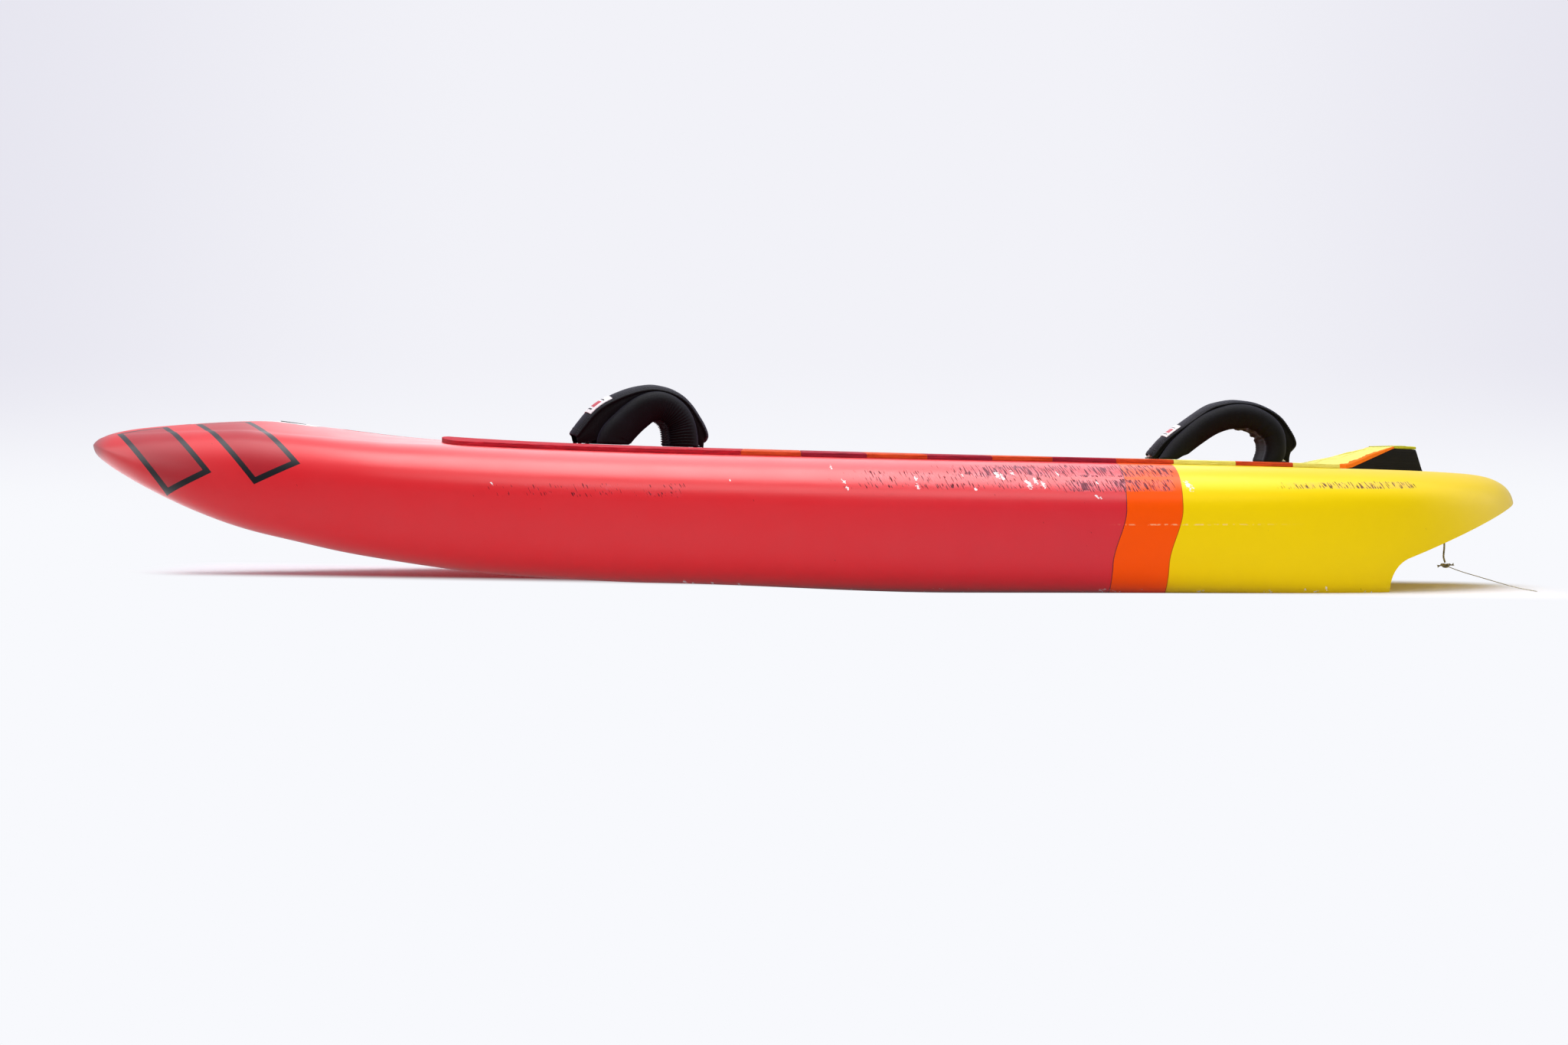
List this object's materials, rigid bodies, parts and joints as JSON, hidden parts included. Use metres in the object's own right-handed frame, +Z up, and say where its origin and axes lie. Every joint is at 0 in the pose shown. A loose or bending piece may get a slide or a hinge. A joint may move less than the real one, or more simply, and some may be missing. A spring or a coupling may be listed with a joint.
{
  "type": "windsurf foil board",
  "caption": "Compact rigid windsurf foil board in coral red with an orange and yellow tail, a striped deck pad with a raised kick, padded footstraps, foil tracks and a leash line",
  "frame": {"origin": "centre of the board's footprint, on the floor that the flat bottom rests on", "axes": "+X from the nose to the tail, +Y to starboard, +Z up from the floor"},
  "size_m": [1.82, 0.64, 0.254],
  "materials": {
    "coral_lacquer": "gloss",
    "white_foam": "matte",
    "dense_foam": "matte",
    "black_plastic": "satin",
    "black_eva": "matte",
    "pad_red": "matte",
    "pad_orange": "matte",
    "pad_crimson": "matte",
    "pad_yellow": "matte",
    "pad_vermilion": "matte",
    "pad_lime": "matte",
    "neoprene": "matte",
    "strap_webbing": "matte",
    "stainless_steel": "satin",
    "seal_rubber": "satin",
    "cream_cord": "matte"
  },
  "bodies": {
    "board": {"bottom_skin": "coral_lacquer", "deck_pad_crimson_1": "pad_crimson", "deck_pad_crimson_2": "pad_crimson", "deck_pad_crimson_3": "pad_crimson", "deck_pad_orange_1": "pad_orange", "deck_pad_orange_2": "pad_orange", "deck_pad_orange_3": "pad_orange", "deck_pad_orange_4": "pad_orange", "deck_pad_red": "pad_red", "deck_pad_vermilion": "pad_vermilion", "deck_pad_yellow_1": "pad_yellow", "deck_pad_yellow_2": "pad_yellow", "deck_skin": "coral_lacquer", "foam_core": "white_foam", "foil_block": "dense_foam", "foil_track_port": "black_plastic", "foil_track_starboard": "black_plastic", "front_strap_cover": "neoprene", "front_strap_padding": "neoprene", "front_strap_plug_aft": "black_plastic", "front_strap_plug_fore": "black_plastic", "front_strap_screw_aft": "stainless_steel", "front_strap_screw_fore": "stainless_steel", "front_strap_washer_aft": "stainless_steel", "front_strap_washer_fore": "stainless_steel", "front_strap_webbing": "strap_webbing", "kick_slope_centre": "pad_yellow", "kick_slope_port": "pad_orange", "kick_slope_starboard": "pad_orange", "kick_top": "pad_lime", "kick_wedge": "black_eva", "leash_knot": "cream_cord", "leash_line": "cream_cord", "leash_pin": "stainless_steel", "leash_plug": "black_plastic", "leash_tail": "cream_cord", "mast_track_box": "black_plastic", "rear_strap_cover": "neoprene", "rear_strap_padding": "neoprene", "rear_strap_plug_aft": "black_plastic", "rear_strap_plug_fore": "black_plastic", "rear_strap_screw_aft": "stainless_steel", "rear_strap_screw_fore": "stainless_steel", "rear_strap_washer_aft": "stainless_steel", "rear_strap_washer_fore": "stainless_steel", "rear_strap_webbing": "strap_webbing", "vent_plug": "black_plastic"},
    "vent_screw": {"vent_oring": "seal_rubber", "vent_screw": "black_plastic"}
  },
  "joints": [
    {"name": "vent_turn", "type": "hinge", "parent": "board", "child": "vent_screw", "pos_m": [-0.655, 0, 0.20452], "axis": [0.1415, 0, 0.9899], "range_deg": [0, 1080]}
  ]
}
